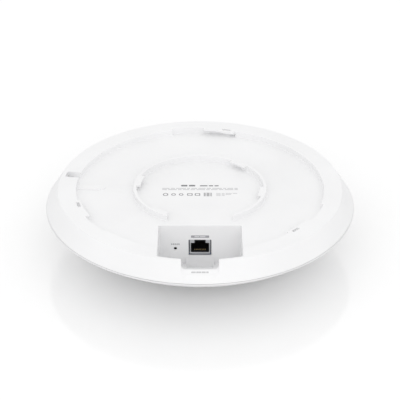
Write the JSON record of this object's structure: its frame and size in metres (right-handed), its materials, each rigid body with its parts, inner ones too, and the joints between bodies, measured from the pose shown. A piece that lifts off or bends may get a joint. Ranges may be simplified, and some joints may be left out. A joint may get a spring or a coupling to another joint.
{
  "type": "ceiling access point",
  "caption": "Round domed white ceiling wireless access point with a bayonet mounting recess, a recessed network jack with cable notch, a reset button and its boards and antennas inside.",
  "frame": {"origin": "middle of the bounding box on the surface that the dome rests on", "axes": "+Z from the domed front to the mounting side, -Y towards the cable port"},
  "size_m": [0.22, 0.22, 0.048],
  "materials": {
    "shell_white": "fine satin moulded texture",
    "cover_white": "smooth satin",
    "light_guide_clear": "milky clear",
    "led_lens": "pale phosphor",
    "board_blue": "solder mask",
    "cast_aluminium": "as cast",
    "capacitor_can": "drawn can",
    "tinned_steel": "tinned",
    "thermal_pad": "soft matt",
    "chip_black": "moulded",
    "antenna_metal": "stamped and plated",
    "jack_metal": "plated",
    "jack_black": "moulded",
    "contact_gold": "gold flash",
    "component_black": "moulded",
    "transformer_tape": "tape-wound",
    "switch_black": "moulded",
    "button_black": "moulded",
    "screw_steel": "zinc plated"
  },
  "bodies": {
    "access_point": {"antenna_high_band_1": "antenna_metal", "antenna_high_band_2": "antenna_metal", "antenna_high_band_3": "antenna_metal", "antenna_high_band_4": "antenna_metal", "antenna_low_band_1": "antenna_metal", "antenna_low_band_2": "antenna_metal", "antenna_low_band_3": "antenna_metal", "antenna_low_band_4": "antenna_metal", "back_shell": "shell_white", "board_screw_1": "screw_steel", "board_screw_2": "screw_steel", "board_screw_3": "screw_steel", "board_screw_4": "screw_steel", "bulk_capacitor_1": "capacitor_can", "bulk_capacitor_2": "capacitor_can", "cpu_chip": "chip_black", "cpu_shield_can": "tinned_steel", "cpu_thermal_pad": "thermal_pad", "ethernet_transformer": "component_black", "front_cover": "cover_white", "heat_spreader": "cast_aluminium", "jack_body": "jack_black", "jack_contact_1": "contact_gold", "jack_contact_2": "contact_gold", "jack_contact_3": "contact_gold", "jack_contact_4": "contact_gold", "jack_contact_5": "contact_gold", "jack_contact_6": "contact_gold", "jack_contact_7": "contact_gold", "jack_contact_8": "contact_gold", "jack_shield": "jack_metal", "light_guide": "light_guide_clear", "main_board": "board_blue", "poe_transformer": "transformer_tape", "power_inductor": "component_black", "radio_left_chip": "chip_black", "radio_left_shield_can": "tinned_steel", "radio_left_thermal_pad": "thermal_pad", "radio_right_chip": "chip_black", "radio_right_shield_can": "tinned_steel", "radio_right_thermal_pad": "thermal_pad", "reset_switch": "switch_black", "shell_screw_1": "screw_steel", "shell_screw_2": "screw_steel", "shell_screw_3": "screw_steel", "shell_screw_4": "screw_steel", "status_led_1": "led_lens", "status_led_2": "led_lens", "status_led_3": "led_lens", "status_led_4": "led_lens"},
    "reset_button": {"reset_button": "button_black"}
  },
  "joints": [
    {"name": "reset_press", "type": "slide", "parent": "access_point", "child": "reset_button", "axis": [0, 1, 0], "range_m": [0, 0.00035], "stiffness_N_per_m": 3000}
  ]
}
